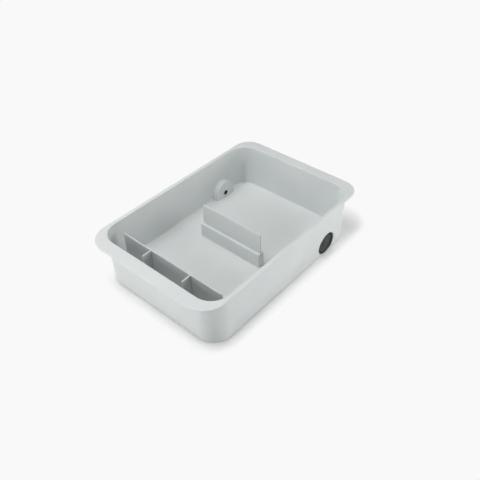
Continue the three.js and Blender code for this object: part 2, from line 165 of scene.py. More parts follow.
# Where the frame puts the tub
TUB_LOW, TUB_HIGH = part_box("tub")
SKIRT = TUB_LOW.z
TOP = TUB_HIGH.z
RIM_UNDERSIDE = TOP - RIM_THICKNESS
FLOOR_UNDERSIDE = FLOOR_TOP - FLOOR_THICKNESS

# Where it puts the right wheel, as distances along its axle from the middle of the box
TYRE_LOW, TYRE_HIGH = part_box("right_tyre")
WHEEL_RADIUS = (TYRE_HIGH.z - TYRE_LOW.z) / 2
AXLE = Vector((0, (TYRE_LOW.y + TYRE_HIGH.y) / 2, (TYRE_LOW.z + TYRE_HIGH.z) / 2))
OUTWARDS = Vector((1, 0, 0))
TYRE_BACK, TYRE_FACE = reach_of("right_tyre")
WELL_FACE = TYRE_BACK - WHEEL_SIDE_GAP
OUTER_FACE = TUB_HIGH.x - RIM_SIDE - SIDE_DRAFT * (TOP - AXLE.z) + WALL

# Where it puts the right foot
FOOT_LOW, FOOT_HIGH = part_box("right_foot")
FOOT_RADIUS = (FOOT_HIGH.x - FOOT_LOW.x) / 2
FOOT_PLACE = ((FOOT_LOW.x + FOOT_HIGH.x) / 2, (FOOT_LOW.y + FOOT_HIGH.y) / 2)

# Where it puts the dividers
COMB_LOW, COMB_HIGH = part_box("front_divider")
BLOCK_LOW, BLOCK_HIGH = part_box("divider_base")
PANEL_LOW, PANEL_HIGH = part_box("divider_panel")
DIVIDER_FRONT = COMB_HIGH.y - DIVIDER_THICKNESS
DIVIDER_PEG_Y = DIVIDER_FRONT - DIVIDER_RIB_REACH / 2
BLOCK_PEG_Y = (BLOCK_LOW.y + BLOCK_HIGH.y) / 2


# Editing a piece

def start(add, **settings):
    """Adds a primitive at its size and place, with its place in its mesh, and opens it for editing."""
    bpy.ops.object.select_all(action="DESELECT")
    add(**settings)
    bpy.ops.object.transform_apply(location=True, rotation=True, scale=True)
    bpy.ops.object.mode_set(mode="EDIT")
    bpy.context.tool_settings.mesh_select_mode = (True, False, False)
    return bpy.context.object


def start_block(low, high):
    """Starts a piece from a cube between two corners."""
    low = Vector(low)
    high = Vector(high)
    return start(bpy.ops.mesh.primitive_cube_add, size=1, location=(low + high) / 2, scale=high - low)


def take(piece):
    """Makes a piece the active one, and the only one that is selected."""
    bpy.ops.object.select_all(action="DESELECT")
    piece.select_set(True)
    bpy.context.view_layer.objects.active = piece


def reopen(piece):
    """Opens a piece for editing again."""
    take(piece)
    bpy.ops.object.mode_set(mode="EDIT")


def close():
    """Ends the editing of the open piece."""
    bpy.ops.object.mode_set(mode="OBJECT")


def pick(kind, wanted):
    """Selects the vertices, edges or faces that pass a test, in the piece that is open for editing."""
    bpy.ops.mesh.select_all(action="DESELECT")
    bpy.context.tool_settings.mesh_select_mode = [kind == each for each in ("verts", "edges", "faces")]
    mesh = bpy.context.object.data
    shape = bmesh.from_edit_mesh(mesh)
    shape.normal_update()
    for element in getattr(shape, kind):
        if wanted(element):
            element.select_set(True)
    shape.select_flush_mode()
    bmesh.update_edit_mesh(mesh)


def round_off(radius, steps=ROUND_STEPS):
    """Rounds the selected edges."""
    bpy.ops.mesh.bevel(offset=radius, segments=steps, affect="EDGES")


def slice_at(point, normal, **settings):
    """Cuts the whole piece along a plane."""
    bpy.ops.mesh.select_all(action="SELECT")
    bpy.ops.mesh.bisect(plane_co=point, plane_no=normal, threshold=MERGE, **settings)


def pull(by):
    """Extrudes the selected faces."""
    bpy.ops.mesh.extrude_region_move(TRANSFORM_OT_translate={"value": by})


def merge_doubles():
    """Merges points in the same place, in the piece that is open for editing."""
    bpy.ops.mesh.select_all(action="SELECT")
    bpy.ops.mesh.remove_doubles(threshold=MERGE)


def apply(piece, kind, **settings):
    """Adds a modifier to a piece and applies it."""
    modifier = piece.modifiers.new(kind.lower(), kind)
    for name, value in settings.items():
        setattr(modifier, name, value)
    take(piece)
    bpy.ops.object.modifier_apply(modifier=modifier.name)


def combine(piece, operation, others):
    """Joins other pieces to a piece, or cuts it by them, and uses them up."""
    for other in others:
        apply(piece, "BOOLEAN", object=other, operation=operation, solver="EXACT")
        bpy.data.objects.remove(other)
    reopen(piece)
    merge_doubles()
    bpy.ops.mesh.dissolve_degenerate(threshold=MERGE)
    close()


def soften(piece, radius, steps=EDGE_STEPS):
    """Rounds every hard edge of a piece."""
    apply(
        piece, "BEVEL", width=radius, segments=steps, limit_method="ANGLE",
        angle_limit=math.radians(SMOOTH_ANGLE), use_clamp_overlap=True,
    )


def shade(piece):
    """Shades round faces smooth and keeps flat faces flat."""
    take(piece)
    bpy.ops.object.shade_smooth_by_angle(angle=math.radians(SMOOTH_ANGLE))
    apply(piece, "WEIGHTED_NORMAL", keep_sharp=True)


def turned(profile, centre, axis, steps):
    """A solid turned about an axis, from a chain of (radius, distance along the axis) points."""
    axis = Vector(axis)
    out = axis.orthogonal().normalized()
    points = [Vector(centre) + along * axis + radius * out for radius, along in profile]
    piece = start(bpy.ops.mesh.primitive_plane_add, size=MM, location=points[0])
    bpy.ops.mesh.merge(type="CENTER")
    for here, there in zip(points, points[1:]):
        pull(there - here)
    bpy.ops.mesh.select_all(action="SELECT")
    bpy.ops.mesh.spin(steps=steps, angle=math.tau, center=centre, axis=axis)
    merge_doubles()
    bpy.ops.mesh.normals_make_consistent(inside=False)
    close()
    return piece


def upright_pin(radius, low, high, x, y):
    """A plain upright pin, as a peg or to cut a hole."""
    return turned([(0, low), (radius, low), (radius, high), (0, high)], (x, y, 0), (0, 0, 1), PIN_STEPS)


def pair(piece, flip=(-1, 1, 1), about=(0, 0, 0)):
    """A piece and a copy of it with its own mesh, mirrored to the other side of the box."""
    take(piece)
    bpy.ops.object.duplicate(linked=False)
    copy = bpy.context.object
    reopen(copy)
    bpy.ops.mesh.select_all(action="SELECT")
    bpy.ops.transform.resize(value=flip, center_override=about)
    bpy.ops.mesh.normals_make_consistent(inside=False)
    close()
    return [piece, copy]


# The tub

def rim_outline():
    """Half width, front, back, and corner radius at the front and at the back of the rim."""
    return TUB_HIGH.x, TUB_LOW.y, TUB_HIGH.y, RIM_FRONT_CORNER, RIM_BACK_CORNER


def wall_outline(z, outwards=0.0):
    """The same of the walls' inner faces at a height, moved outwards by a distance."""
    side = SIDE_DRAFT * (TOP - z)
    end = END_DRAFT * (TOP - z)
    corner = MOUTH_CORNER - side + outwards
    return (
        TUB_HIGH.x - RIM_SIDE - side + outwards,
        TUB_LOW.y + RIM_FRONT + end - outwards,
        TUB_HIGH.y - RIM_BACK - end + outwards,
        corner,
        corner,
    )


def add_loop(outline, z):
    """Adds a loop of edges round a rectangle with round corners."""
    half, front, back, front_corner, back_corner = outline
    middle = Vector((0, (front + back) / 2, z))
    bpy.ops.mesh.primitive_plane_add(size=1, location=middle)
    bpy.ops.transform.resize(value=(2 * half, back - front, 1), center_override=middle)
    for end, radius in ((front, front_corner), (back, back_corner)):
        corners = [Vector((x, end, z)) for x in (-half, half)]
        pick("verts", lambda vert: any((vert.co - corner).length < TOUCH for corner in corners))
        bpy.ops.mesh.bevel(offset=radius, segments=CORNER_STEPS, affect="VERTICES")
    pick("faces", lambda face: all(abs(vert.co.z - z) < TOUCH for vert in face.verts))
    bpy.ops.mesh.delete(type="ONLY_FACE")


def open_edges(*heights):
    """Tests for edges at given heights that still lack a face."""
    def wanted(edge):
        level = all(any(abs(vert.co.z - z) < TOUCH for z in heights) for vert in edge.verts)
        return level and len(edge.link_faces) < 2
    return wanted


def stray(point, outline):
    """How far a point lies from a rounded rectangle."""
    half, front, back, front_corner, back_corner = outline
    middle = (front + back) / 2
    corner = front_corner if point.y < middle else back_corner
    across = abs(point.x) - half + corner
    along = abs(point.y - middle) - (back - front) / 2 + corner
    outside = math.hypot(max(across, 0), max(along, 0))
    return abs(outside + min(max(across, along), 0) - corner)


def ring(outline, z):
    """Tests for edges along a rounded rectangle at a height."""
    return lambda edge: all(
        abs(vert.co.z - z) < TOUCH and stray(vert.co, outline) < TOUCH for vert in edge.verts
    )


def tub_shell():
    """The shell: loops bridged from under the floor, down the skirt, up the walls, over the rim and in."""
    loops = [
        (wall_outline(FLOOR_UNDERSIDE), FLOOR_UNDERSIDE),
        (wall_outline(SKIRT), SKIRT),
        (wall_outline(SKIRT, WALL), SKIRT),
        (wall_outline(RIM_UNDERSIDE, WALL), RIM_UNDERSIDE),
        (rim_outline(), RIM_UNDERSIDE),
        (rim_outline(), TOP),
        (wall_outline(TOP), TOP),
        (wall_outline(FLOOR_TOP), FLOOR_TOP),
    ]
    piece = start(bpy.ops.mesh.primitive_plane_add)
    bpy.ops.mesh.delete(type="VERT")
    add_loop(*loops[0])
    for (_, last), (outline, z) in zip(loops, loops[1:]):
        # Two level loops can be bridged crosswise, so each is bridged below its place and then lifted
        low = z - OVERRUN
        add_loop(outline, low)
        pick("edges", open_edges(last, low))
        bpy.ops.mesh.bridge_edge_loops()
        pick("verts", lambda vert: abs(vert.co.z - low) < TOUCH)
        bpy.ops.transform.translate(value=(0, 0, OVERRUN))
    for z in (FLOOR_UNDERSIDE, FLOOR_TOP):
        pick("edges", open_edges(z))
        bpy.ops.mesh.edge_face_add()
    bpy.ops.mesh.select_all(action="SELECT")
    bpy.ops.mesh.normals_make_consistent(inside=False)
    for outline, z, radius in (
        (wall_outline(FLOOR_TOP), FLOOR_TOP, FLOOR_FILLET),
        (wall_outline(TOP), TOP, MOUTH_ROUND),
        (rim_outline(), TOP, RIM_EDGE_ROUND),
        (rim_outline(), RIM_UNDERSIDE, RIM_EDGE_ROUND),
        (wall_outline(RIM_UNDERSIDE, WALL), RIM_UNDERSIDE, RIM_FILLET),
        (wall_outline(SKIRT, WALL), SKIRT, SKIRT_ROUND),
    ):
        pick("edges", ring(outline, z))
        round_off(radius)
    close()
    return piece


def corner_rib():
    """An upright rib in the front right corner, leaning with the wall, that fades into it at the top."""
    out = Vector((math.cos(CORNER_RIB_TURN), -math.sin(CORNER_RIB_TURN), 0))

    def foot_at(z):
        half, front, _, corner, _ = wall_outline(z)
        centre = Vector((half - corner, front + corner, z))
        return centre + out * (corner + (WALL / 2 - CORNER_RIB_DEPTH) / 2)

    low = foot_at(FLOOR_TOP - FLOOR_THICKNESS / 2)
    high = foot_at(CORNER_RIB_TOP)
    depth = CORNER_RIB_DEPTH + WALL / 2
    piece = start(
        bpy.ops.mesh.primitive_cube_add, size=1, rotation=(0, 0, math.atan2(out.y, out.x)),
        location=(low.x, low.y, (low.z + high.z) / 2), scale=(depth, CORNER_RIB_WIDTH, high.z - low.z),
    )
    pick("faces", lambda face: face.normal.z > FACING)
    bpy.ops.transform.translate(value=(high.x - low.x, high.y - low.y, 0))
    pick("verts", lambda vert: vert.co.z > high.z - TOUCH and (vert.co - high).dot(out) < 0)
    bpy.ops.transform.translate(value=(0, 0, -CORNER_RIB_FADE))
    close()
    return piece


def wheel_housing():
    """A half-round housing, level with the skirt, that flares into the wall, with a boss round the axle."""
    face = WELL_FACE - HOUSING_END
    inner_wall = OUTER_FACE - WALL
    radius = WHEEL_RADIUS + WHEEL_GAP + HOUSING_WALL
    quarter = [math.radians(90) * step / ROUND_STEPS for step in range(ROUND_STEPS + 1)]
    drum = turned(
        [(0, face)]
        + [(radius - HOUSING_ROUND * (1 - math.sin(a)), face + HOUSING_ROUND * (1 - math.cos(a)))
           for a in quarter]
        + [(radius + HOUSING_FLARE * (1 - math.cos(a)), inner_wall - HOUSING_FLARE * (1 - math.sin(a)))
           for a in quarter]
        + [(radius + HOUSING_FLARE, inner_wall + WALL / 2), (0, inner_wall + WALL / 2)],
        AXLE, OUTWARDS, WHEEL_STEPS,
    )
    boss_radius = AXLE_RADIUS + HOUSING_BOSS_RIM
    boss_face = face - HOUSING_BOSS_HEIGHT
    boss = turned(
        [(0, boss_face), (boss_radius, boss_face), (boss_radius, WELL_FACE), (0, WELL_FACE)],
        AXLE, OUTWARDS, PIN_STEPS,
    )
    soften(boss, HOUSING_BOSS_ROUND)
    combine(drum, "UNION", [boss])
    reopen(drum)
    slice_at((0, 0, SKIRT), (0, 0, 1), use_fill=True, clear_inner=True)
    close()
    return drum


def wheel_well():
    """What the wheel, its axle and the axle's cap need cut out of the tub, with the arch's edge eased."""
    radius = WHEEL_RADIUS + WHEEL_GAP
    well = turned(
        [
            (0, WELL_FACE),
            (radius, WELL_FACE),
            (radius, OUTER_FACE - ARCH_EASE),
            (radius + ARCH_EASE, OUTER_FACE),
            (radius + ARCH_EASE, OUTER_FACE + OVERRUN),
            (0, OUTER_FACE + OVERRUN),
        ],
        AXLE, OUTWARDS, WHEEL_STEPS,
    )
    bore = AXLE_RADIUS + CLEARANCE
    seat = bore + CAP_WALL + CLEARANCE
    _, seat_floor = reach_of("right_axle_cap")
    axle_hole = turned(
        [
            (0, WELL_FACE - OVERRUN),
            (seat, WELL_FACE - OVERRUN),
            (seat, seat_floor),
            (bore, seat_floor),
            (bore, OUTER_FACE),
            (0, OUTER_FACE),
        ],
        AXLE, OUTWARDS, PIN_STEPS,
    )
    combine(well, "UNION", [axle_hole])
    return well


def foot_boss():
    """A boss under the floor that a foot is pressed into."""
    return upright_pin(FOOT_RADIUS + FOOT_BOSS_RIM, SKIRT, FLOOR_TOP - FLOOR_THICKNESS / 2, *FOOT_PLACE)


def foot_hole():
    """The hole in a boss for a foot's stem."""
    return upright_pin(FOOT_STEM_RADIUS + CLEARANCE, SKIRT - OVERRUN, FOOT_HIGH.z + CLEARANCE, *FOOT_PLACE)


def peg_hole(pitch, y):
    """A hole in the floor for a divider's peg."""
    return upright_pin(
        PEG_RADIUS + CLEARANCE, FLOOR_UNDERSIDE - OVERRUN, FLOOR_TOP + PEG_HOLE_RISE, pitch / 2, y,
    )


def tub_moulding():
    """The shell with its ribs, housings and bosses, and with the holes that the other pieces need."""
    piece = tub_shell()
    _, front, back, _, _ = wall_outline(TOP)
    middle = (0, (front + back) / 2, 0)
    for rib in pair(corner_rib()):
        combine(piece, "UNION", pair(rib, (1, -1, 1), middle))
    combine(piece, "UNION", pair(wheel_housing()))
    combine(piece, "UNION", pair(foot_boss()))
    combine(piece, "DIFFERENCE", pair(wheel_well()))
    combine(piece, "DIFFERENCE", pair(foot_hole()))
    combine(piece, "DIFFERENCE", pair(peg_hole(DIVIDER_PEG_PITCH, DIVIDER_PEG_Y)))
    combine(piece, "DIFFERENCE", pair(peg_hole(BLOCK_PEG_PITCH, BLOCK_PEG_Y)))
    shade(piece)
    return piece


# The dividers

def taper_top(share_x, share_y):
    """Narrows the upper face of the piece that is open for editing."""
    pick("faces", lambda face: face.normal.z > FACING)
    mesh = bmesh.from_edit_mesh(bpy.context.object.data)
    verts = [vert.co.copy() for vert in mesh.verts if vert.select]
    centre = sum(verts, Vector()) / len(verts)
    bpy.ops.transform.resize(value=(share_x, share_y, 1), center_override=centre)


def round_top_corners(half, top):
    """Rounds the two corners at the ends of an upright plate's top edge."""
    pick("edges", lambda edge: all(
        abs(abs(vert.co.x) - half) < TOUCH and abs(vert.co.z - top) < TOUCH for vert in edge.verts
    ))
    round_off(PLATE_CORNER)


def front_comb():
    """A long wall with two short ribs and a foot strip pulled forwards out of its face."""
    floor = COMB_LOW.z + PEG_LENGTH
    rib_front = DIVIDER_FRONT - DIVIDER_RIB_REACH
    foot_top = floor + DIVIDER_FOOT
    half_top = COMB_HIGH.x - INSERT_DRAFT * (COMB_HIGH.z - floor)
    piece = start_block((COMB_LOW.x, DIVIDER_FRONT, floor), COMB_HIGH)
    taper_top(half_top / COMB_HIGH.x, 1)
    round_top_corners(half_top, COMB_HIGH.z)
    rib_middle = DIVIDER_RIB_PITCH / 2
    rib_half = DIVIDER_RIB_THICKNESS / 2
    for middle in (-rib_middle, rib_middle):
        for edge in (-rib_half, rib_half):
            slice_at((middle + edge, 0, 0), (1, 0, 0))
    slice_at((0, 0, foot_top), (0, 0, 1))

    def in_comb(face):
        centre = face.calc_center_median()
        in_rib = abs(abs(centre.x) - rib_middle) < rib_half
        return face.normal.y < -FACING and (in_rib or centre.z < foot_top)

    def in_foot(face):
        centre = face.calc_center_median()
        return face.normal.y < -FACING and centre.y < rib_front + TOUCH and centre.z < foot_top

    pick("faces", in_comb)
    pull((0, rib_front - DIVIDER_FRONT, 0))
    pick("faces", in_foot)
    bpy.ops.transform.translate(value=(0, COMB_LOW.y - rib_front, 0))
    close()
    peg = upright_pin(
        PEG_RADIUS, COMB_LOW.z, floor + DIVIDER_FOOT / 2, DIVIDER_PEG_PITCH / 2, DIVIDER_PEG_Y,
    )
    combine(piece, "UNION", pair(peg))
    soften(piece, PLATE_EDGE_ROUND)
    shade(piece)
    return piece


def floor_block():
    """A hollow block with round ends, a slot along its top and two pegs below."""
    floor = BLOCK_LOW.z + PEG_LENGTH
    narrowing = INSERT_DRAFT * (BLOCK_HIGH.z - floor)
    half_depth = (BLOCK_HIGH.y - BLOCK_LOW.y) / 2
    piece = start_block((BLOCK_LOW.x, BLOCK_LOW.y, floor), BLOCK_HIGH)
    pick("edges", lambda edge: abs(edge.verts[0].co.z - edge.verts[1].co.z) > TOUCH)
    round_off(BLOCK_CORNER, BLOCK_CORNER_STEPS)
    taper_top(1 - narrowing / BLOCK_HIGH.x, 1 - narrowing / half_depth)
    pick("edges", lambda edge: all(abs(vert.co.z - BLOCK_HIGH.z) < TOUCH for vert in edge.verts))
    round_off(BLOCK_TOP_ROUND)
    close()
    half_slot = PANEL_HIGH.x - PANEL_TONGUE_INSET + CLEARANCE
    slot_floor = PANEL_LOW.z - CLEARANCE
    slot = start_block(
        (-half_slot, PANEL_LOW.y - CLEARANCE, slot_floor),
        (half_slot, PANEL_HIGH.y + CLEARANCE, BLOCK_HIGH.z + OVERRUN),
    )
    close()
    skin = Vector((1, 1, 0)) * (BLOCK_SKIN + narrowing)
    roof = slot_floor - BLOCK_SKIN
    hollow = start_block(
        Vector((BLOCK_LOW.x, BLOCK_LOW.y, floor - OVERRUN)) + skin,
        Vector((BLOCK_HIGH.x, BLOCK_HIGH.y, roof)) - skin,
    )
    close()
    combine(piece, "DIFFERENCE", [slot, hollow])
    peg = upright_pin(PEG_RADIUS, BLOCK_LOW.z, roof + BLOCK_SKIN / 2, BLOCK_PEG_PITCH / 2, BLOCK_PEG_Y)
    combine(piece, "UNION", pair(peg))
    soften(piece, BLOCK_EDGE_ROUND, SMALL_EDGE_STEPS)
    shade(piece)
    return piece


def lift_out_panel():
    """A thin plate whose shoulders rest on the block, with a tongue pulled down into the slot."""
    seat = BLOCK_HIGH.z
    half_top = PANEL_HIGH.x - INSERT_DRAFT * (PANEL_HIGH.z - seat)
    half_tongue = PANEL_HIGH.x - PANEL_TONGUE_INSET
    piece = start_block((PANEL_LOW.x, PANEL_LOW.y, seat), PANEL_HIGH)
    taper_top(half_top / PANEL_HIGH.x, 1)
    round_top_corners(half_top, PANEL_HIGH.z)
    for end in (-half_tongue, half_tongue):
        slice_at((end, 0, 0), (1, 0, 0))
    pick("faces", lambda face: face.normal.z < -FACING and abs(face.calc_center_median().x) < half_tongue)
    pull((0, 0, PANEL_LOW.z - seat))
    close()
    soften(piece, PLATE_EDGE_ROUND)
    shade(piece)
    return piece


# The right wheel and foot

def tyre():
    """A ring with round shoulders, and a groove inside for the hub's ridge."""
    inside = WHEEL_RADIUS - TYRE_DEPTH
    middle = (TYRE_BACK + TYRE_FACE) / 2
    half = TYRE_RIDGE_WIDTH / 2
    groove = inside + TYRE_RIDGE_HEIGHT
    piece = turned(
        [
            (inside, TYRE_BACK),
            (WHEEL_RADIUS, TYRE_BACK),
            (WHEEL_RADIUS, TYRE_FACE),
            (inside, TYRE_FACE),
            (inside, middle + half),
            (groove, middle + half),
            (groove, middle - half),
            (inside, middle - half),
            (inside, TYRE_BACK),
        ],
        AXLE, OUTWARDS, WHEEL_STEPS,
    )

    def at_shoulder(edge):
        on_tread = all(abs((vert.co - AXLE).yz.length - WHEEL_RADIUS) < TOUCH for vert in edge.verts)
        return on_tread and abs(edge.verts[0].co.x - edge.verts[1].co.x) < TOUCH

    reopen(piece)
    pick("edges", at_shoulder)
    round_off(TYRE_ROUND)
    close()
    return piece


def wheel_disc():
    """A dished hub with a ridge that keeps the tyre on and a seat for the axle's head."""
    boss_back, face = reach_of("right_wheel_hub")
    back = TYRE_BACK + TYRE_FACE - face
    middle = (TYRE_BACK + TYRE_FACE) / 2
    rim = WHEEL_RADIUS - TYRE_DEPTH - CLEARANCE
    ridge = rim + TYRE_RIDGE_HEIGHT
    half = TYRE_RIDGE_WIDTH / 2 - CLEARANCE
    bore = AXLE_RADIUS + CLEARANCE
    seat = AXLE_HEAD_RADIUS + CLEARANCE
    seat_floor = face - AXLE_HEAD_DEPTH - CLEARANCE
    boss = seat + HUB_BOSS
    dish = face - HUB_DISH
    piece = turned(
        [
            (bore, boss_back),
            (boss, boss_back),
            (boss, back),
            (rim, back),
            (rim, middle - half),
            (ridge, middle - half),
            (ridge, middle + half),
            (rim, middle + half),
            (rim, face),
            (rim - HUB_LIP, face),
            (rim - HUB_LIP - HUB_DISH, dish),
            (boss + HUB_DISH, dish),
            (boss, face),
            (seat, face),
            (seat, seat_floor),
            (bore, seat_floor),
            (bore, boss_back),
        ],
        AXLE, OUTWARDS, WHEEL_STEPS,
    )
    soften(piece, HUB_EDGE_ROUND, SMALL_EDGE_STEPS)
    return piece


def axle_pin():
    """A pin with a flat head that sits in the hub."""
    end, face = reach_of("right_axle_pin")
    head = face - AXLE_HEAD_DEPTH
    piece = turned(
        [
            (0, end),
            (AXLE_RADIUS, end),
            (AXLE_RADIUS, head),
            (AXLE_HEAD_RADIUS, head),
            (AXLE_HEAD_RADIUS, face),
            (0, face),
        ],
        AXLE, OUTWARDS, PIN_STEPS,
    )
    soften(piece, AXLE_EDGE_ROUND)
    return piece


def axle_cap():
    """A cup that closes over the pin's end, inside the tub."""
    face, back = reach_of("right_axle_cap")
    bore = AXLE_RADIUS + CLEARANCE
    radius = bore + CAP_WALL
    piece = turned(
        [
            (0, face),
            (radius, face),
            (radius, back),
            (bore, back),
            (bore, face + CAP_END),
            (0, face + CAP_END),
        ],
        AXLE, OUTWARDS, PIN_STEPS,
    )
    soften(piece, AXLE_EDGE_ROUND)
    return piece


def foot_pad():
    """A round pad with a stem that is pressed into its boss."""
    piece = turned(
        [
            (0, FOOT_LOW.z),
            (FOOT_RADIUS, FOOT_LOW.z),
            (FOOT_RADIUS, SKIRT),
            (FOOT_STEM_RADIUS, SKIRT),
            (FOOT_STEM_RADIUS, FOOT_HIGH.z),
            (0, FOOT_HIGH.z),
        ],
        (*FOOT_PLACE, 0), (0, 0, 1), PIN_STEPS,
    )
    soften(piece, FOOT_EDGE_ROUND)
    return piece


# Materials

# The slow clouding, and where between its least and its most the two colours are reached
CLOUD_DETAIL = 3
CLOUD_ROUGHNESS = 0.5
CLOUD_DARK_END = 0.3
CLOUD_LIGHT_END = 0.7
# The grain. On such mouldings it is about 0.2 mm, too fine to show in the render, so each is drawn as coarse
# as it needs to show.
GRAIN_DETAIL = 2
GRAIN_ROUGHNESS = 0.6
GRAIN_STRENGTH = 0.5
# How far the grain varies the roughness, up and down
SATIN_SPREAD = 0.05


def linear(hex_colour):
    """An sRGB hex colour as linear red, green, blue and alpha."""
    channels = [int(hex_colour[i:i + 2], 16) / 255 for i in (1, 3, 5)]
    return (*[c / 12.92 if c <= 0.04045 else ((c + 0.055) / 1.055) ** 2.4 for c in channels], 1)


def add_node(tree, kind, settings=None, links=None):
    """Adds a shader node, sets its properties and sockets, and links its sockets to other nodes' outputs.

    A socket that shares its name with another is given by its number.
    """
    node = tree.nodes.new(kind)
    for name, value in (settings or {}).items():
        if isinstance(name, int) or name in node.inputs:
            node.inputs[name].default_value = value
        else:
            setattr(node, name, value)
    for name, output in (links or {}).items():
        tree.links.new(output, node.inputs[name])
    return node


def moulded_plastic(name, dark, light, cloud, grain, depth, roughness, ior):
    """A moulded surface: slow clouding between two close colours, and a fine even grain from the mould."""
    material = bpy.data.materials.new(name)
    material.use_nodes = True
    tree = material.node_tree
    tree.nodes.clear()
    place = add_node(tree, "ShaderNodeTexCoord")
    clouds = add_node(
        tree, "ShaderNodeTexNoise",
        {"Scale": 1 / cloud, "Detail": CLOUD_DETAIL, "Roughness": CLOUD_ROUGHNESS},
        {"Vector": place.outputs["Object"]},
    )
    colour = add_node(tree, "ShaderNodeValToRGB", links={"Fac": clouds.outputs["Fac"]})
    ends = ((CLOUD_DARK_END, dark), (CLOUD_LIGHT_END, light))
    for element, (position, tint) in zip(colour.color_ramp.elements, ends):
        element.position = position
        element.color = linear(tint)
    grains = add_node(
        tree, "ShaderNodeTexNoise",
        {"Scale": 1 / grain, "Detail": GRAIN_DETAIL, "Roughness": GRAIN_ROUGHNESS},
        {"Vector": place.outputs["Object"]},
    )
    bump = add_node(
        tree, "ShaderNodeBump", {"Strength": GRAIN_STRENGTH, "Distance": depth},
        {"Height": grains.outputs["Fac"]},
    )
    satin = add_node(
        tree, "ShaderNodeMapRange",
        {"To Min": roughness - SATIN_SPREAD, "To Max": roughness + SATIN_SPREAD},
        {"Value": grains.outputs["Fac"]},
    )
    shader = add_node(
        tree, "ShaderNodeBsdfPrincipled", {"IOR": ior, "Metallic": 0},
        {
            "Base Color": colour.outputs["Color"],
            "Roughness": satin.outputs["Result"],
            "Normal": bump.outputs["Normal"],
        },
    )
    add_node(tree, "ShaderNodeOutputMaterial", links={"Surface": shader.outputs["BSDF"]})
    return material


# Polypropylene, moulded in a spark-eroded tool: an even light grey with a soft satin sheen and no sharp
# reflections
POLYPROPYLENE = moulded_plastic(
    "moulded_polypropylene", "#d4d8d8", "#d9dddc", cloud=70 * MM, grain=1.2 * MM, depth=0.02 * MM,
    roughness=0.42, ior=1.49,
)
# Glass-filled nylon, moulded: charcoal, a little rough, with a weak grey sheen
NYLON = moulded_plastic(
    "charcoal_nylon", "#262b2a", "#2c3130", cloud=12 * MM, grain=0.6 * MM, depth=0.03 * MM,
    roughness=0.55, ior=1.4,
)
# Thermoplastic rubber, moulded: near black and dull
TREAD_RUBBER = moulded_plastic(
    "tread_rubber", "#151717", "#1a1c1c", cloud=10 * MM, grain=0.5 * MM, depth=0.04 * MM,
    roughness=0.85, ior=1.4,
)
# Acetal, moulded: a deep black with hardly any sheen
ACETAL = moulded_plastic(
    "black_acetal", "#050505", "#080909", cloud=6 * MM, grain=0.4 * MM, depth=0.005 * MM,
    roughness=0.7, ior=1.3,
)
# Thermoplastic rubber, moulded: mid grey and dull
FOOT_RUBBER = moulded_plastic(
    "grey_rubber", "#878c8c", "#929797", cloud=10 * MM, grain=0.5 * MM, depth=0.04 * MM,
    roughness=0.85, ior=1.5,
)


# The whole box

def hand_over(piece, name, body, node, material):
    """Names and finishes a piece, in place of its CAD node."""
    piece.name = name
    piece.data.name = name
    piece.data.materials.clear()
    piece.data.materials.append(material)
    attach(piece, body)
    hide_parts(node)


hand_over(tub_moulding(), "tub_moulding", "tub", "tub", POLYPROPYLENE)
hand_over(front_comb(), "front_comb", "front_divider", "front_divider", POLYPROPYLENE)
hand_over(floor_block(), "floor_block", "tub", "divider_base", POLYPROPYLENE)
hand_over(
    lift_out_panel(), "lift_out_panel", "divider_panel", "divider_panel", POLYPROPYLENE,
)
for make, name, node, slot, material, turns in (
    (wheel_disc, "wheel_disc", "wheel_hub", "wheel_plastic", NYLON, True),
    (tyre, "tread", "tyre", "tyre_rubber", TREAD_RUBBER, True),
    (axle_pin, "axle", "axle_pin", "wheel_plastic", NYLON, False),
    (axle_cap, "axle_button", "axle_cap", "wheel_plastic", ACETAL, False),
    (foot_pad, "foot_pad", "foot", "foot_rubber", FOOT_RUBBER, False),
):
    for side, piece in zip(("right", "left"), pair(make())):
        shade(piece)
        body = f"{side}_wheel" if turns else "tub"
        hand_over(piece, f"{side}_{name}", body, f"{side}_{node}", material)


# Floor, light and camera

FLOOR_SIZE = 12
FLOOR_GAP = 0.1 * MM
BACKDROP = "#f9f9f9"
# A glow that lightens the shadow on the paper, at the front and at the back
FLOOR_GLOW_FRONT = 0.17
FLOOR_GLOW_BACK = 0.25
# How far from the foot of the box the shadow begins to fade and is gone, and how far it is thrown behind
SHADOW_FADE = 3 * MM
SHADOW_END = 26 * MM
SHADOW_THROW = 65 * MM
ROOM_LIGHT = 0.02
# Each lamp's azimuth and elevation in degrees, its distance, width and height in metres, and the light that
# it throws on a face turned towards it in the middle of the box, where pi shows white as white
LAMP_TARGET = Vector((0, 0, 50)) * MM
LAMPS = {
    "top_lamp": (-45, 79, 1.2, 0.8, 0.8, 2.3),
    "front_lamp": (-15, 20, 1.2, 1.2, 0.7, 1.34),
    "low_left_lamp": (-60, 8, 2, 0.6, 0.6, 0.54),
    "right_lamp": (110, 20, 1.2, 0.7, 0.7, 1.05),
    "low_back_lamp": (130, 8, 2, 0.6, 0.6, 0.65),
}


def direction(azimuth, elevation):
    """The way from the box to something seen round it, with azimuth 0 in front and 90 on the right."""
    a = math.radians(azimuth)
    e = math.radians(elevation)
    return Vector((math.sin(a) * math.cos(e), -math.cos(a) * math.cos(e), math.sin(e)))


def seen_rays(tree):
    """1 for what the camera sees, itself or in a reflection, and 0 for light that falls on something."""
    rays = add_node(tree, "ShaderNodeLightPath")
    seen = rays.outputs["Is Camera Ray"]
    for name in ("Is Glossy Ray", "Is Transmission Ray"):
        either = add_node(
            tree, "ShaderNodeMath", {"operation": "MAXIMUM"}, {0: seen, 1: rays.outputs[name]},
        )
        seen = either.outputs["Value"]
    return seen


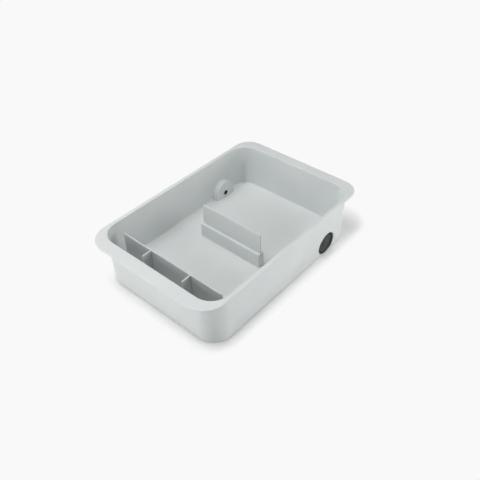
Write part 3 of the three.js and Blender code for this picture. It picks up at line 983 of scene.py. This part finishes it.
def pale_floor():
    """White paper that shows the shadow close to the box and fades to an even white further off."""
    piece = start(bpy.ops.mesh.primitive_plane_add, size=FLOOR_SIZE, location=(0, 0, -FLOOR_GAP))
    close()
    piece.name = "floor"
    material = bpy.data.materials.new("seamless_paper")
    material.use_nodes = True
    tree = material.node_tree
    tree.nodes.clear()
    paper = add_node(tree, "ShaderNodeBsdfDiffuse", {"Color": linear(BACKDROP)})
    white = add_node(tree, "ShaderNodeEmission", {"Color": linear(BACKDROP), "Strength": 1})
    half, front, back, corner, _ = wall_outline(SKIRT, WALL)
    back += SHADOW_THROW
    place = add_node(tree, "ShaderNodeTexCoord").outputs["Object"]
    along = add_node(tree, "ShaderNodeSeparateXYZ", links={"Vector": place})
    strength = add_node(
        tree, "ShaderNodeMapRange",
        {"From Min": front, "From Max": back, "To Min": FLOOR_GLOW_FRONT, "To Max": FLOOR_GLOW_BACK},
        {"Value": along.outputs["Y"]},
    )
    glow = add_node(
        tree, "ShaderNodeEmission", {"Color": linear(BACKDROP)}, {"Strength": strength.outputs["Result"]},
    )
    lit_paper = add_node(
        tree, "ShaderNodeAddShader", links={0: paper.outputs["BSDF"], 1: glow.outputs["Emission"]},
    )

    # The distance from a rectangle with round corners, as the length of what lies past its corners' centres
    middle = Vector((0, (front + back) / 2, 0))
    straight = Vector((half, (back - front) / 2, 0)) - corner * Vector((1, 1, 0))
    for settings in (
        {"operation": "SUBTRACT", 1: middle},
        {"operation": "ABSOLUTE"},
        {"operation": "SUBTRACT", 1: straight},
        {"operation": "MAXIMUM", 1: Vector()},
    ):
        place = add_node(tree, "ShaderNodeVectorMath", settings, {0: place}).outputs["Vector"]
    reach = add_node(tree, "ShaderNodeVectorMath", {"operation": "LENGTH"}, {0: place})
    fade = add_node(
        tree, "ShaderNodeMapRange",
        {
            "interpolation_type": "SMOOTHSTEP",
            "From Min": corner + SHADOW_FADE,
            "From Max": corner + SHADOW_END,
        },
        {"Value": reach.outputs["Value"]},
    )
    shown = add_node(
        tree, "ShaderNodeMixShader",
        links={"Fac": fade.outputs["Result"], 1: lit_paper.outputs["Shader"], 2: white.outputs["Emission"]},
    )
    both = add_node(
        tree, "ShaderNodeMixShader",
        links={"Fac": seen_rays(tree), 1: paper.outputs["BSDF"], 2: shown.outputs["Shader"]},
    )
    add_node(tree, "ShaderNodeOutputMaterial", links={"Surface": both.outputs["Shader"]})
    piece.data.materials.append(material)


def room():
    """Even light from all round, seen as a white room by the camera and in reflections."""
    world = bpy.data.worlds.new("room")
    bpy.context.scene.world = world
    world.use_nodes = True
    tree = world.node_tree
    tree.nodes.clear()
    light = add_node(tree, "ShaderNodeBackground", {"Color": (1, 1, 1, 1), "Strength": ROOM_LIGHT})
    white = add_node(tree, "ShaderNodeBackground", {"Color": linear(BACKDROP), "Strength": 1})
    both = add_node(
        tree, "ShaderNodeMixShader",
        links={"Fac": seen_rays(tree), 1: light.outputs["Background"], 2: white.outputs["Background"]},
    )
    add_node(tree, "ShaderNodeOutputWorld", links={"Surface": both.outputs["Shader"]})


def lamps():
    """Soft lamps round the box, each turned towards its middle."""
    for name, (azimuth, elevation, distance, width, height, strength) in LAMPS.items():
        light = bpy.data.lights.new(name, "AREA")
        light.shape = "RECTANGLE"
        light.size = width
        light.size_y = height
        light.energy = math.pi * distance ** 2 * strength
        lamp = bpy.data.objects.new(name, light)
        way = direction(azimuth, elevation)
        lamp.location = LAMP_TARGET + distance * way
        lamp.rotation_euler = (-way).to_track_quat("-Z", "Y").to_euler()
        bpy.context.scene.collection.objects.link(lamp)


def camera():
    """The photograph's camera, which looks down from the front right."""
    lens = bpy.data.cameras.new("camera")
    lens.sensor_width = SENSOR_WIDTH_MM
    lens.lens = SENSOR_WIDTH_MM * FOCAL_LENGTH_PX / IMAGE_WIDTH_PX
    lens.shift_x = (IMAGE_WIDTH_PX / 2 - LENS_AXIS_PX) / IMAGE_WIDTH_PX
    eye = bpy.data.objects.new("camera", lens)
    back = direction(VIEW_AZIMUTH, VIEW_ELEVATION)
    right = Vector((0, 0, 1)).cross(back).normalized()
    level = Matrix((right, back.cross(right), back)).transposed()
    turn = level @ Matrix.Rotation(math.radians(VIEW_ROLL), 3, "Z")
    eye.matrix_world = Matrix.Translation(VIEW_TARGET + VIEW_DISTANCE * back) @ turn.to_4x4()
    bpy.context.scene.collection.objects.link(eye)
    bpy.context.scene.camera = eye


pale_floor()
room()
lamps()
camera()
bpy.context.scene.view_settings.view_transform = "Standard"
